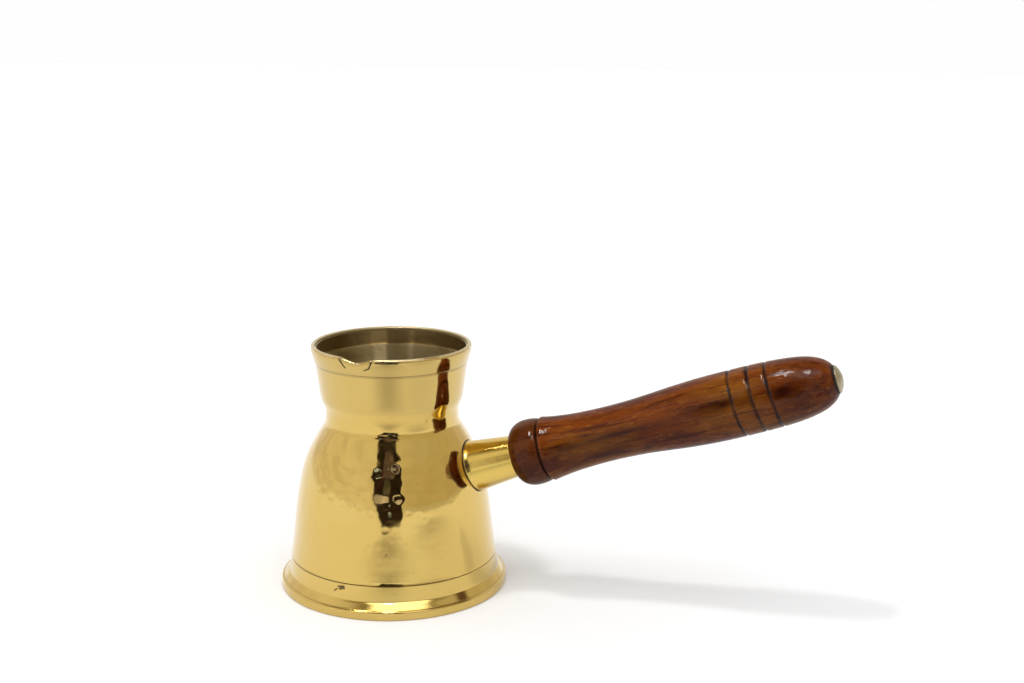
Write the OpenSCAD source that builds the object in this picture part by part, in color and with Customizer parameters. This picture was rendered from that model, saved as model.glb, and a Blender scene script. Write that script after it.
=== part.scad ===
// Turkish coffee pot (cezve). A hammered brass bell stands on a turned brass foot and is tinned inside.
// A turned wooden handle is drawn up against a brass socket by one long tie rod and a domed nut.
// Millimetres, +Z up. The origin is the centre of the face that the pot stands on, and the handle
// leans out over +X. Outlines are lists of [radius, height] or, on the handle, [radius, distance out].

/* [Foot] */
// Diameter of the foot at the table
foot_d = 78; // [76:0.5:82]
// Height of the foot's outer edge
flange_h = 3; // [2.4:0.1:3.6]
// Diameter of the plain band above the sloping face
band_d = 72.2; // [72:0.2:74]
// Height where the sloping face around the foot meets the band
band_z = 5.4; // [5:0.1:7]
// Diameter at the seam between foot and bell
seam_d = 70.7; // [70:0.1:71.6]
// Height of the seam
seam_z = 10.5; // [10:0.1:12]
// Diameter of the shallow recess under the foot
recess_d = 60; // [50:1:66]
// Depth of that recess
recess_depth = 0.8; // [0.4:0.1:1.2]
// Thickness of the pot's floor
floor_t = 2.6; // [1.6:0.1:3.4]
// Height of the spigot that stands up inside the bell
spigot_h = 3.9; // [3:0.1:5]

/* [Bell] */
// Diameter where the skirt turns into the shoulder
shoulder_d = 63.3; // [62:0.1:65]
// Height of that turn
shoulder_z = 37.7; // [36:0.1:39]
// Diameter at the hollow of the waist
waist_d = 45.2; // [43:0.1:47]
// Height of the waist
waist_z = 60.8; // [59:0.1:62]
// Thickness of the bell's wall
wall = 1.8; // [1.4:0.1:2.2]

/* [Neck and rim] */
// Diameter of the soft edge at the bottom of the neck
neck_edge_d = 48.7; // [48:0.1:50]
// Diameter of the neck just under the rim band
neck_top_d = 51.6; // [50.4:0.1:52]
// Height of the step under the rim band
rim_step_z = 78; // [77:0.1:79]
// Outside diameter of the rim
rim_d = 54.2; // [53.8:0.1:56]
// Diameter of the bore turned inside the rim
mouth_d = 51.1; // [50.2:0.1:51.4]
// Height of the pot
pot_h = 83.9; // [83:0.1:86]

/* [Pouring lip] */
// Direction of the pouring lip, from the handle
lip_angle = -96; // [-120:1:-60]
// Width of the pouring lip
lip_w = 10.8; // [8:0.1:13]
// Depth of the pouring lip
lip_depth = 1.6; // [1:0.1:2.4]
// Length of the chisel cut at each side of the lip
nick_h = 2.6; // [1.5:0.1:3.5]

/* [Tin lining] */
// Thickness of the tin, drawn thicker than the real wiped coat
tin_t = 0.25; // [0.2:0.05:0.4]

/* [Handle socket] */
// Height where the handle's axis crosses the pot's axis
axis_z = 33.4; // [32:0.1:35]
// Lift of the handle above level, in degrees
handle_tilt = 18; // [12:0.1:22]
// Diameter of the socket just clear of the belly
socket_root_d = 17.2; // [16:0.1:18]
// Diameter of the socket where it enters the wood
socket_tip_d = 13.9; // [13:0.1:14.6]
// Thickness of the socket's wall
socket_wall = 1.1; // [0.8:0.1:1.4]

/* [Wooden handle] */
// Distance from the pot's axis to the front of the wood
wood_start = 46.2; // [45:0.1:48]
// Distance from the pot's axis to the end of the wood
wood_end = 154.1; // [152:0.1:156]
// Diameter of the bead at the front of the handle
bead_d = 22.3; // [22:0.1:24]
// Diameter of the grip's slim part
grip_waist_d = 18; // [17:0.1:19]
// Diameter of the grip's swelling
grip_swell_d = 21.9; // [21:0.1:23]
// Distances of the three burnt rings from the pot's axis
ring_places = [122.8, 129.1, 134.8];

/* [Tie rod and nut] */
// Diameter of the tie rod
rod_d = 4.8; // [4:0.1:5]
// Diameter of the boss that the rod screws into
boss_d = 10; // [9:0.1:11]
// Diameter of the domed nut's head
nut_head_d = 9.2; // [8.6:0.1:9.8]
// Diameter of the nut's barrel
nut_barrel_d = 7.1; // [6.6:0.1:7.2]
// Length of the nut's barrel
nut_barrel_l = 8; // [6:0.5:10]

/* [Hidden] */
$fn = 96;

BRASS = "goldenrod";
CAST_BRASS = "darkgoldenrod";
TIN = "dimgray";
STEEL = "silver";
WOOD = "saddlebrown";

braze_gap = 0.1;     // left for solder between two brass pieces
tin_gap = 0.05;      // between the tin and the brass behind it
edge_break = 0.25;   // chamfer on each side of the seam

// Foot
floor_top = recess_depth + floor_t;
spigot_top = seam_z + spigot_h;
register_r = seam_d / 2 - wall;          // bore at the bottom of the bell
spigot_r = register_r - braze_gap;
dish_r = spigot_r - 1.6;                 // inside of the foot's dish
floor_fillet = 3;

// Bell
shoulder_lean = 0.217;                   // radius lost for each millimetre of height
throat_lean = 0.625;
seam = [seam_d / 2, seam_z];
shoulder = [shoulder_d / 2, shoulder_z];
throat = [waist_d / 2 + 1.2, waist_z - 5.2];
waist = [waist_d / 2, waist_z];
neck_edge = [neck_edge_d / 2, waist_z + 6.2];
neck_top = [neck_top_d / 2, rim_step_z];
waist_inside = waist - [wall, 0];
ledge = [mouth_d / 2 - 1.1, rim_step_z - 0.2];

// Rim
rim_root = [neck_top_d / 2 + 0.35, rim_step_z + 0.3];
rim_side = [rim_d / 2, pot_h - 1.8];
lip_crown = [(rim_d + mouth_d) / 4 + 0.05, pot_h];
lip_inside = [mouth_d / 2, pot_h - 0.8];

// Distances along the handle's axis, from the pot's axis
socket_root = 26;                        // inside the belly, before the saddle cut
socket_clear = 32;
seat_depth = 2.6;                        // how far the socket enters the wood
boss_end = 38;
rod_start = 34;
bead_crown = wood_start + 5.8;
bead_back = wood_start + 10.2;
collar_groove = wood_start + 10.8;
grip_start = wood_start + 11.5;
nut_bore_end = wood_end + 0.5 - 1.4;
washer_t = 0.4;

// Points on a cubic Bezier curve from a to d
function bezier(a, b, c, d, n = 8) =
    [for (i = [0:n]) let (t = i / n, u = 1 - t)
        u^3 * a + 3 * u^2 * t * b + 3 * u * t^2 * c + t^3 * d];

// A path moved sideways by d, towards its left
function beside(path, d) =
    [for (i = [0:len(path) - 1])
        let (ahead = path[min(i + 1, len(path) - 1)] - path[max(i - 1, 0)])
            path[i] + d / norm(ahead) * [-ahead[1], ahead[0]]];

function backwards(path) = [for (i = [len(path) - 1:-1:0]) path[i]];

// A list without its first point, for joining curves that share one
function tail(path) = [for (i = [1:len(path) - 1]) path[i]];

// Outside of the bell, from the seam up to the waist
bell_outside = concat(
    bezier(seam, seam + [-1.55, 6.1], shoulder - 10.4 * [-shoulder_lean, 1], shoulder),
    tail(bezier(shoulder, shoulder + 7.6 * [-shoulder_lean, 1],
                throat - 5.7 * [-throat_lean, 1], throat, 10)),
    tail(bezier(throat, throat + 0.7 * [-throat_lean, 1], waist - [0, 2], waist, 6)));

// Outside of the neck and rim, from the waist over the crown of the lip and down its inside
neck_outside = concat(
    tail(bezier(waist, waist + [0, 2.4], neck_edge - [0.3, 3], neck_edge)),
    tail(bezier(neck_edge, neck_edge + [0.15, 2], neck_top - [0.4, 4], neck_top, 5)),
    bezier(rim_root, rim_root + [0.45, 1.3], rim_side - [0, 1.6], rim_side, 5),
    tail(bezier(rim_side, rim_side + [0, 1.2], lip_crown + [0.55, 0], lip_crown, 5)),
    tail(bezier(lip_crown, lip_crown - [0.45, 0], lip_inside + [0, 0.6], lip_inside, 4)));

// Inside of the brass above the foot's spigot, up to the ledge under the rim's bore
brass_inside = concat(
    [for (p = beside(bell_outside, wall)) if (p[1] > spigot_top + 0.4) p],
    tail(bezier(waist_inside, waist_inside + [0, 5], ledge - [1.4, 8], ledge)));

// The whole surface that the tin covers, from the middle of the floor up to the lip
tinned_surface = concat(
    [[0, floor_top]],
    [for (a = [0:15:90])
        [dish_r - floor_fillet + floor_fillet * sin(a), floor_top + floor_fillet * (1 - cos(a))]],
    [[dish_r, spigot_top]],
    brass_inside,
    [[mouth_d / 2, rim_step_z], [mouth_d / 2, pot_h - 1]]);

// Places a child drawn up +Z along the handle's axis
module along_handle()
    translate([0, 0, axis_z]) rotate([0, 90 - handle_tilt, 0]) children();

// The belly's outside, grown by the braze gap, for cutting saddles in what is brazed to it
module belly() {
    side = [for (p = beside(bell_outside, -braze_gap)) if (p[1] > 20 && p[1] < 58) p];
    rotate_extrude()
        polygon(concat([[0, side[0][1]]], side, [[0, side[len(side) - 1][1]]]));
}

module pot_body() color(BRASS)
    difference() {
        rotate_extrude()
            polygon(concat(
                [seam - [edge_break, 0], seam + [0, edge_break]],
                tail(bell_outside), neck_outside, [[mouth_d / 2, rim_step_z]],
                backwards(brass_inside),
                [[register_r, spigot_top + braze_gap], [register_r, seam_z]]));
        pouring_lip();
    }

// The hollow filed in the rim for pouring, with a chisel cut at each side of it
module pouring_lip() {
    sweep_r = (lip_w^2 / 4 + lip_depth^2) / (2 * lip_depth);
    nick_w = 0.45;
    nick_depth = 0.6;
    nick_turn = asin(lip_w / rim_d);
    rotate([0, 0, lip_angle]) {
        translate([rim_d / 2, 0, pot_h + sweep_r - lip_depth])
            rotate([0, 90, 0]) cylinder(r = sweep_r, h = 12, center = true);
        for (side = [-1, 1])
            rotate([0, 0, side * nick_turn])
                translate([rim_d / 2 - nick_depth, -nick_w / 2, pot_h - nick_h])
                    cube([2, nick_w, nick_h + 1]);
    }
}

module foot_base() color(CAST_BRASS)
    rotate_extrude()
        polygon(concat(
            [[0, recess_depth], [recess_d / 2 - 0.6, recess_depth], [recess_d / 2, 0],
             [foot_d / 2 - 0.4, 0], [foot_d / 2, 0.4], [foot_d / 2 - 0.2, flange_h - 0.6],
             [foot_d / 2 - 0.7, flange_h], [foot_d / 2 - 0.95, flange_h + 0.15],
             [band_d / 2, band_z],
             [seam_d / 2, seam_z - braze_gap - edge_break],
             [seam_d / 2 - edge_break, seam_z - braze_gap], [spigot_r, seam_z - braze_gap],
             [spigot_r, spigot_top], [dish_r, spigot_top]],
            [for (a = [90:-15:0])
                [dish_r - floor_fillet + floor_fillet * sin(a),
                 floor_top + floor_fillet * (1 - cos(a))]],
            [[0, floor_top]]));

module tin_lining() color(TIN)
    rotate_extrude()
        polygon(concat(beside(tinned_surface, tin_gap),
                       backwards(beside(tinned_surface, tin_gap + tin_t))));

module handle_socket() color(BRASS)
    difference() {
        along_handle() rotate_extrude() {
            outside = concat(
                bezier([socket_root_d / 2 + 4, socket_root], [socket_root_d / 2 + 1.5, 29],
                       [socket_root_d / 2 + 0.4, 30], [socket_root_d / 2, socket_clear], 5),
                [[socket_tip_d / 2, wood_start], [socket_tip_d / 2, wood_start + seat_depth]]);
            polygon(concat(outside, backwards([for (p = outside) p - [socket_wall, 0]])));
        }
        belly();
    }

module rod_boss() color(CAST_BRASS)
    difference() {
        along_handle() difference() {
            translate([0, 0, socket_root]) cylinder(d = boss_d, h = boss_end - socket_root);
            translate([0, 0, rod_start]) cylinder(d = rod_d + 0.2, h = boss_end);
        }
        belly();
    }

module tie_rod() color(STEEL)
    along_handle() translate([0, 0, rod_start + 0.1])
        cylinder(d = rod_d, h = nut_bore_end - rod_start - 0.6);

module handle_grip() color(WOOD)
    along_handle() difference() {
        rotate_extrude() polygon(grip_outline());
        for (place = ring_places) translate([0, 0, place]) burnt_ring();
    }

// Outline of the wood: socket seat, bead, collar groove, grip, swelling, end and the stepped bore
function grip_outline() =
    let (seat_r = socket_tip_d / 2 + 0.1,
         bore_r = rod_d / 2 + 0.5,
         nut_seat_r = nut_barrel_d / 2 + 0.15,
         nut_seat = wood_end - nut_barrel_l - 1,
         bead_r = bead_d / 2,
         slim = [grip_waist_d / 2, 80],
         swell = [grip_swell_d / 2, 120.8])
    concat(
        [[bore_r, wood_start + seat_depth + 0.2], [seat_r, wood_start + seat_depth + 0.2]],
        [for (a = [0:10:90])
            [seat_r + (bead_r - seat_r) * sin(a),
             wood_start + (bead_crown - wood_start) * (1 - cos(a))]],
        [[bead_r - 0.1, bead_crown + 2], [bead_r - 0.45, bead_back],
         [bead_r - 1.4, collar_groove]],
        bezier([bead_r - 0.3, grip_start], [bead_r - 1.5, grip_start + 5.5],
               slim - [0, 9], slim),
        tail(bezier(slim, slim + [0, 16], swell - [0, 20], swell)),
        tail(bezier(swell, swell + [0, 22], [9.8, wood_end - 3.5], [5.2, wood_end], 14)),
        [[nut_seat_r, wood_end], [nut_seat_r, nut_seat], [bore_r, nut_seat]]);

// A shallow V turned round the swelling, to be burnt dark
module burnt_ring() {
    groove_w = 0.9;
    groove_depth = 0.3;
    rotate_extrude()
        polygon([[grip_swell_d / 2 - groove_depth, 0],
                 [grip_swell_d / 2 + 1, -2 * groove_w], [grip_swell_d / 2 + 1, 2 * groove_w]]);
}

module end_washer() color("black")
    along_handle() translate([0, 0, wood_end + 0.05])
        difference() {
            cylinder(d = nut_head_d + 0.3, h = washer_t);
            translate([0, 0, -1]) cylinder(d = nut_barrel_d + 0.4, h = 2 + washer_t);
        }

module cap_nut() color(CAST_BRASS)
    along_handle() {
        head = wood_end + washer_t + 0.1;
        rotate_extrude()
            polygon(concat(
                [[0, nut_bore_end], [rod_d / 2 + 0.1, nut_bore_end],
                 [rod_d / 2 + 0.1, wood_end - nut_barrel_l],
                 [nut_barrel_d / 2, wood_end - nut_barrel_l], [nut_barrel_d / 2, head]],
                bezier([nut_head_d / 2, head], [nut_head_d / 2, head + 0.7],
                       [nut_head_d / 4, head + 2], [0, head + 2])));
    }

pot_body();
foot_base();
tin_lining();
handle_socket();
rod_boss();
tie_rod();
handle_grip();
end_washer();
cap_nut();
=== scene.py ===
import math

import bpy
import numpy as np
from mathutils import Matrix, Vector


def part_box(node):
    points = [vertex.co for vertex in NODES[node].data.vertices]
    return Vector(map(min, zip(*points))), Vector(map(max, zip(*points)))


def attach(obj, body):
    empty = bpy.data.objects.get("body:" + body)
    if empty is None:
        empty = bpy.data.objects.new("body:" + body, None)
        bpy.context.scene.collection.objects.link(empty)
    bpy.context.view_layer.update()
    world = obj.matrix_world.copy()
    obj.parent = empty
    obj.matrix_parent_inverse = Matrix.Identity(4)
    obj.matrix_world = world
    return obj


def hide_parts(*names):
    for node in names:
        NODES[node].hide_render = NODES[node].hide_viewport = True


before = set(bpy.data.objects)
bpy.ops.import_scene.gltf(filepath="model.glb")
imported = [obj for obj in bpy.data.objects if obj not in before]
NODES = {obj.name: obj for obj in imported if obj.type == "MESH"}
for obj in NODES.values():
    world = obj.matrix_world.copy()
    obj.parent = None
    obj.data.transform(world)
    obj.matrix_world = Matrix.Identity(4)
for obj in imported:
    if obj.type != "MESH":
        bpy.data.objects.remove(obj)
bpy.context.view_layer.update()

MM = 0.001

# ---------------------------------------------------------------- the frame's own sizes, in mm


def node_low(node):
    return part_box(node)[0] / MM


def node_high(node):
    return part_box(node)[1] / MM


foot_r = node_high("foot_base").x
seam_z = node_low("pot_body").z
pot_h = node_high("pot_body").z
seam_r = node_high("pot_body").x
spigot_top = node_high("foot_base").z

axis_z = 33.4
handle_tilt = math.radians(18)
AXIS_O = np.array([0.0, 0.0, axis_z])
ALONG = np.array([math.cos(handle_tilt), 0.0, math.sin(handle_tilt)])
HANDLE_UP = np.array([-ALONG[2], 0.0, ALONG[0]])
HANDLE_SIDE = np.array([0.0, -1.0, 0.0])


def v2(x, y):
    return np.array([x, y], float)


def bezier(a, b, c, d, n=24):
    t = np.linspace(0, 1, n + 1)[:, None]
    u = 1 - t
    return u**3 * a + 3 * u * u * t * b + 3 * u * t * t * c + t**3 * d


def even(path, step):
    """The path again with points about one step apart."""
    path = np.asarray(path, float)
    run = np.concatenate([[0], np.cumsum(np.hypot(*np.diff(path, axis=0).T))])
    at = np.linspace(0, run[-1], max(1, round(run[-1] / step)) + 1)
    return np.stack([np.interp(at, run, path[:, i]) for i in (0, 1)], axis=1)


def joined(*paths):
    """Paths one after another, with a shared end written once."""
    out = [np.asarray(paths[0], float)]
    for path in paths[1:]:
        path = np.asarray(path, float)
        out.append(path[1:] if np.allclose(path[0], out[-1][-1]) else path)
    return np.concatenate(out)


def left_of(path):
    """Unit vectors to the left of a path's direction."""
    ahead = np.gradient(path, axis=0)
    ahead /= np.maximum(np.linalg.norm(ahead, axis=1, keepdims=True), 1e-9)
    return np.stack([-ahead[:, 1], ahead[:, 0]], axis=1)


def smooth(low, high, x):
    t = np.clip((x - low) / (high - low), 0, 1)
    return t * t * (3 - 2 * t)


def between(start, full, fade, end, x):
    """1 from full to fade, and down to 0 at start and end."""
    return smooth(start, full, x) * (1 - smooth(fade, end, x))


def unevenness(seed, turns, waves, count=14):
    """A soft random function of angle and height, between about -1 and 1."""
    rng = np.random.default_rng(seed)
    k = rng.integers(-turns, turns + 1, count)
    m = rng.uniform(-waves, waves, count)
    phase = rng.uniform(0, 2 * np.pi, count)

    def f(angle, height):
        waves_here = (np.cos(k[i] * angle + m[i] * height + phase[i]) for i in range(count))
        return sum(waves_here) / math.sqrt(count)

    return f


def cut(angle, height, radius, a, b, half_width):
    """1 on the line from a to b (degrees, mm), down to 0 at half_width mm beside it."""
    u, w = np.deg2rad(np.array([a[0], b[0]])) * radius, np.array([a[1], b[1]], float)
    along = np.array([u[1] - u[0], w[1] - w[0]])
    du, dw = angle * radius - u[0], height - w[0]
    t = np.clip((du * along[0] + dw * along[1]) / max(along @ along, 1e-9), 0, 1)
    return np.clip(1 - np.hypot(du - t * along[0], dw - t * along[1]) / half_width, 0, 1)


def angles_with(step, fine_step, fine_ranges):
    """Angles right round in radians, closer together over the fine ranges (in degrees)."""
    out, at = [], -180.0
    while at < 180 - 1e-6:
        out.append(at)
        at += fine_step if any(a <= at < b for a, b in fine_ranges) else step
    out = np.array(out)
    return np.deg2rad(-180 + (out + 180) * 360 / (at + 180))


def all_round(count):
    """Evenly spread angles right round, in radians."""
    return np.linspace(0, 2 * np.pi, count, endpoint=False)


# ---------------------------------------------------------------- meshes

SHARP_ANGLE = math.radians(40)


def skin(name, points, marks=None, loop=True):
    """A closed mesh from a grid of points in mm, rows by columns. The columns go right round. The rows
    join up if loop is set, or else the first and last rows are drawn in to one point each."""
    rows, cols = points.shape[:2]
    verts = points.reshape(-1, 3)
    index = np.arange(rows * cols).reshape(rows, cols)
    after = np.roll(index, -1, axis=1)
    if loop:
        low, high = index, np.roll(index, -1, axis=0)
        low_after, high_after = after, np.roll(after, -1, axis=0)
    else:
        low, high, low_after, high_after = index[1:-2], index[2:-1], after[1:-2], after[2:-1]
    faces = np.stack([low, low_after, high_after, high], axis=-1).reshape(-1, 4).tolist()
    if not loop:
        first, last = int(index[0, 0]), int(index[-1, 0])
        faces += [[first, int(b), int(a)] for a, b in zip(index[1], after[1])]
        faces += [[last, int(a), int(b)] for a, b in zip(index[-2], after[-2])]
    volume = 0
    for corners in ([f[:3] for f in faces], [[f[0], f[2], f[-1]] for f in faces]):
        p = verts[np.array(corners)]
        volume += np.einsum("ij,ij->", p[:, 0], np.cross(p[:, 1], p[:, 2]))
    if volume < 0:  # the faces look inwards
        faces = [f[::-1] for f in faces]
    keep = np.ones(len(verts), bool)
    if not loop:
        keep[index[0, 1:]] = keep[index[-1, 1:]] = False
    new_index = np.cumsum(keep) - 1
    mesh = bpy.data.meshes.new(name)
    faces = [[int(new_index[i]) for i in f] for f in faces]
    mesh.from_pydata((verts[keep] * MM).tolist(), [], faces)
    mesh.update()
    for mark, values in (marks or {}).items():
        values = np.broadcast_to(values, (rows, cols)).reshape(-1)[keep]
        mesh.attributes.new(mark, "FLOAT", "POINT").data.foreach_set("value", values.astype(np.float32))
    mesh.shade_smooth()
    mesh.set_sharp_from_angle(angle=SHARP_ANGLE)
    piece = bpy.data.objects.new(name, mesh)
    bpy.context.scene.collection.objects.link(piece)
    return piece


def turned(path, angle):
    """Radius, height and angle grids for an outline turned round +Z."""
    return (np.repeat(path[:, :1], len(angle), 1), np.repeat(path[:, 1:2], len(angle), 1),
            np.repeat(angle[None, :], len(path), 0))


def upright(r, z, angle):
    return np.stack([r * np.cos(angle), r * np.sin(angle), z], axis=-1)


def on_handle(r, s, phi):
    """Points at radius r and distance s out along the handle. phi 0 is its top and 90 its camera side."""
    return (AXIS_O + s[..., None] * ALONG + (r * np.cos(phi))[..., None] * HANDLE_UP
            + (r * np.sin(phi))[..., None] * HANDLE_SIDE)


# ---------------------------------------------------------------- outlines of the pot

wall = 1.8
neck_top_r, rim_r, mouth_r = 25.8, 27.1, 25.55
waist_r, waist_z = 22.6, 60.8
rim_step_z = pot_h - 5.9
shoulder, throat = v2(31.65, 37.7), v2(waist_r + 1.1, waist_z - 5.25)
seam, waist, neck_edge = v2(seam_r, seam_z), v2(waist_r, waist_z), v2(24.35, waist_z + 6.2)
neck_top, rim_root = v2(neck_top_r, rim_step_z), v2(neck_top_r + 0.35, rim_step_z + 0.3)
rim_side, lip_crown = v2(rim_r, pot_h - 1.8), v2(26.375, pot_h)
lip_inside, ledge = v2(mouth_r, pot_h - 0.8), v2(mouth_r - 1.1, rim_step_z - 0.2)
shoulder_run, throat_run = v2(-0.217, 1), v2(-0.62, 1)

bell = joined(
    bezier(seam, seam + v2(-1.15, 6.1), shoulder - 10.4 * shoulder_run, shoulder),
    bezier(shoulder, shoulder + 7.6 * shoulder_run, throat - 5.7 * throat_run, throat),
    bezier(throat, throat + 1.2 * throat_run, waist - v2(0, 3.5), waist))
neck = joined(
    bezier(waist, waist + v2(0, 2.4), neck_edge - v2(0.4, 3), neck_edge),
    [neck_edge, neck_top])
rim = joined(
    bezier(rim_root, rim_root + v2(0.3, 1.2), rim_side - v2(0.22, 1.3), rim_side),
    bezier(rim_side, rim_side + v2(0.12, 0.9), lip_crown + v2(0.5, 0), lip_crown),
    bezier(lip_crown, lip_crown - v2(0.45, 0), lip_inside + v2(0, 0.6), lip_inside))


def bell_radius(z):
    return np.interp(z, bell[:, 1], bell[:, 0])


def brass_inside(clear, step):
    """The inside of the brass, from a little clear of the foot's spigot up to the bore in the rim."""
    inner_bell = bell + wall * left_of(bell)
    inner_bell = inner_bell[inner_bell[:, 1] > spigot_top + clear]
    waist_in = waist - v2(wall, 0)
    inner_neck = bezier(waist_in, waist_in + v2(0, 5), ledge - v2(1.4, 8), ledge)
    return joined(even(inner_bell, step), even(inner_neck, step), [v2(mouth_r, rim_step_z)])


# How deep the pouring lip is filed, in mm, in each direction (degrees).
LIP = np.array([(-110, 0), (-108, 0.15), (-104, 0.6), (-100, 1.15), (-97, 1.42), (-93.5, 1.35), (-90, 1.05),
                (-87, 0.65), (-84.5, 0.3), (-82, 0.1), (-79, 0)])


def lip_drop(angle):
    """How far the rim is filed down at the pouring lip."""
    return np.interp(np.rad2deg(angle), LIP[:, 0], LIP[:, 1])


def filed_lip(z, angle):
    """The rim's points lowered into the pouring lip."""
    return z - lip_drop(angle) * smooth(rim_step_z + 0.6, pot_h - 1.2, z)


# ---------------------------------------------------------------- hammered bell

# Direction in degrees and height in mm of the blows that show as round dents, with their depth and the
# radius of their dish. The others stand in rings, a step apart and about a spacing apart along each.
DEEP_BLOWS = ((-80.4, 46.9), (-69.0, 48.0), (-67.6, 38.6), (-117.1, 39.9), (-110.3, 37.7))
DEEP_BLOW_DEPTH, DEEP_BLOW_DISH = 0.075, 18
BLOW_RINGS = np.arange(13.0, 56, 2.6)
BLOW_SPACING = 2.9
STRONG_SHARE, STRONG_ABOVE = 0.08, 33


def hammer_blows():
    """Centres of the hammer marks, in rings up the bell, each with its depth and the radius of its dish."""
    rng = np.random.default_rng(23)
    blows = []
    for angle, here in DEEP_BLOWS:
        r, angle = bell_radius(here), math.radians(angle)
        blows.append((r * math.cos(angle), r * math.sin(angle), here, DEEP_BLOW_DEPTH, DEEP_BLOW_DISH))
    for ring, at in enumerate(BLOW_RINGS):
        count = round(2 * np.pi * bell_radius(at) / BLOW_SPACING)
        for i in range(count):
            angle = 2 * np.pi * (i + 0.5 * (ring % 2) + rng.uniform(-0.25, 0.25)) / count
            here = at + rng.uniform(-0.6, 0.6)
            r = bell_radius(here)
            strong = rng.uniform() < STRONG_SHARE and here > STRONG_ABOVE
            depth, dish = (rng.uniform(0.035, 0.06), rng.uniform(15, 26)) if strong else (
                rng.uniform(0, 0.026), rng.uniform(28, 56))
            blows.append((r * math.cos(angle), r * math.sin(angle), here, depth, dish))
    return np.array(blows)


def hammered_depth(points, fade):
    """Depth of the overlapping hammer marks at each point, in mm, with soft ridges between them."""
    softness, reach, limit = 0.0014, 5.0, 60
    total = np.ones(points.shape[:2])
    height = points[:, 0, 2]
    for x, y, z, depth, dish in hammer_blows():
        rows = np.flatnonzero(np.abs(height - z) < reach)
        away = ((points[rows] - np.array([x, y, z])) ** 2).sum(-1)
        total[rows] += np.exp(np.clip((depth - away / (2 * dish)) / softness, -limit, limit))
    return softness * np.log(total) * fade


# Scored lines beside the pouring lip: two ends (degrees, mm), half width and depth.
LIP_SCORES = (((-108.9, 83.4), (-104.2, 81.0), 0.36, 0.42),
              ((-84.0, 83.6), (-86.1, 81.3), 0.32, 0.4),
              ((-89.4, 80.85), (-86.1, 81.3), 0.28, 0.3))
# Pits and stains in the bell: place (degrees, mm), half width, depth and darkness.
PITS = (((-74.8, 20.8), 0.62, 0.12, 0.9), ((-75.3, 24.1), 1.5, 0.03, 0.12),
        ((-73, 22.3), 2.4, 0.02, 0.1), ((-41, 61.6), 0.5, 0.05, 0.4))


def make_pot():
    edge = 0.16
    angle = angles_with(1.05, 0.4, [(-113, -81)])
    outside = joined(
        [seam - v2(edge, 0), seam + v2(0, edge)],
        even(bell[bell[:, 1] > seam_z + edge], 0.52),
        even(neck, 0.9),
        [rim_root - v2(0.05, 0.12)],
        even(rim, 0.22))
    bore = seam_r - wall
    path = joined(outside, brass_inside(0.4, 4)[::-1], [v2(bore, spigot_top + 0.1), v2(bore, seam_z)])
    r, z, a = turned(path, angle)
    out = np.arange(len(path)) < len(outside)
    lean = left_of(path)

    hammered = between(11.5, 15, 50.5, 53.5, z) * out[:, None]
    dent = hammered_depth(upright(r, z, a), hammered)
    dent += 0.05 * (1 + unevenness(5, 7, 0.35)(a, z)) * between(12, 16, 56, 62, z)
    dent += 0.02 * (1 + unevenness(9, 5, 0.2)(a, z)) * between(60, 66, 76, 78, z)

    marks = np.zeros_like(r)
    for start, end, half, deep in LIP_SCORES:
        line = cut(a, z, rim_r, start, end, half)
        dent += deep * line * (z > rim_step_z)
        marks = np.maximum(marks, np.clip(line * 2.2, 0, 1) * (z > rim_step_z))
    for at, half, deep, dirt in PITS:
        pit = cut(a, z, bell_radius(at[1]), at, (at[0] + 0.3, at[1]), half)
        dent += deep * pit
        marks = np.maximum(marks, dirt * pit)
    # Painted shade in the crease under the rim's step.
    step_shade = np.exp(-((z - rim_step_z - 0.1) / 0.13) ** 2) * (r > neck_top_r - 0.2)
    seam_line = np.exp(-((z - seam_z) / 0.16) ** 2) * (0.3 + 0.3 * unevenness(13, 6, 0)(a, z))
    # Painted shade along the inside edge of the lip.
    inner_lip_shade = 0.6 * (r < lip_crown[0] - 0.5) * (z > pot_h - 1.6) * (z < pot_h - 0.3)
    marks = np.maximum(marks, np.maximum(0.6 * step_shade, np.maximum(seam_line, inner_lip_shade)))
    crown = smooth(pot_h - 0.95, pot_h - 0.4, z)
    dull = 0.62 * smooth(64.4, 65.2, z + 0.15 * unevenness(17, 6, 0)(a, z))
    dull += 0.3 * smooth(-0.1, 0.1, z - rim_step_z)

    dent = dent * out[:, None]
    r = r + dent * lean[:, :1]
    z = z + dent * lean[:, 1:]
    z = filed_lip(z, a)
    return skin("pot_hammered", upright(r, z, a),
                {"grime_and_shade": marks * out[:, None], "tinned": crown, "dull": dull})


# ---------------------------------------------------------------- foot

band_r, band_z, flange_h = 36.1, 5.4, 3.0
recess_r, recess_depth, floor_top = 30.0, 0.8, 3.4
spigot_r = seam_r - wall - 0.1
dish_r, floor_fillet = spigot_r - 1.6, 3.0

# Nicks in the band: two ends (degrees, mm), half width and depth.
BAND_NICKS = (((-103.6, 7.6), (-102.2, 8.3), 0.26, 0.2), ((-101.4, 9.15), (-98.0, 9.35), 0.34, 0.3),
              ((-100.6, 8.5), (-97.6, 8.85), 0.3, 0.28), ((-99.6, 9.4), (-100.4, 8.4), 0.24, 0.25))


def dish_fillet():
    """The round between the floor and the wall of the foot's dish, from the floor up."""
    turn = np.radians(np.arange(0, 91, 10))
    return np.stack([dish_r - floor_fillet + floor_fillet * np.sin(turn),
                     floor_top + floor_fillet * (1 - np.cos(turn))], axis=1)


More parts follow.
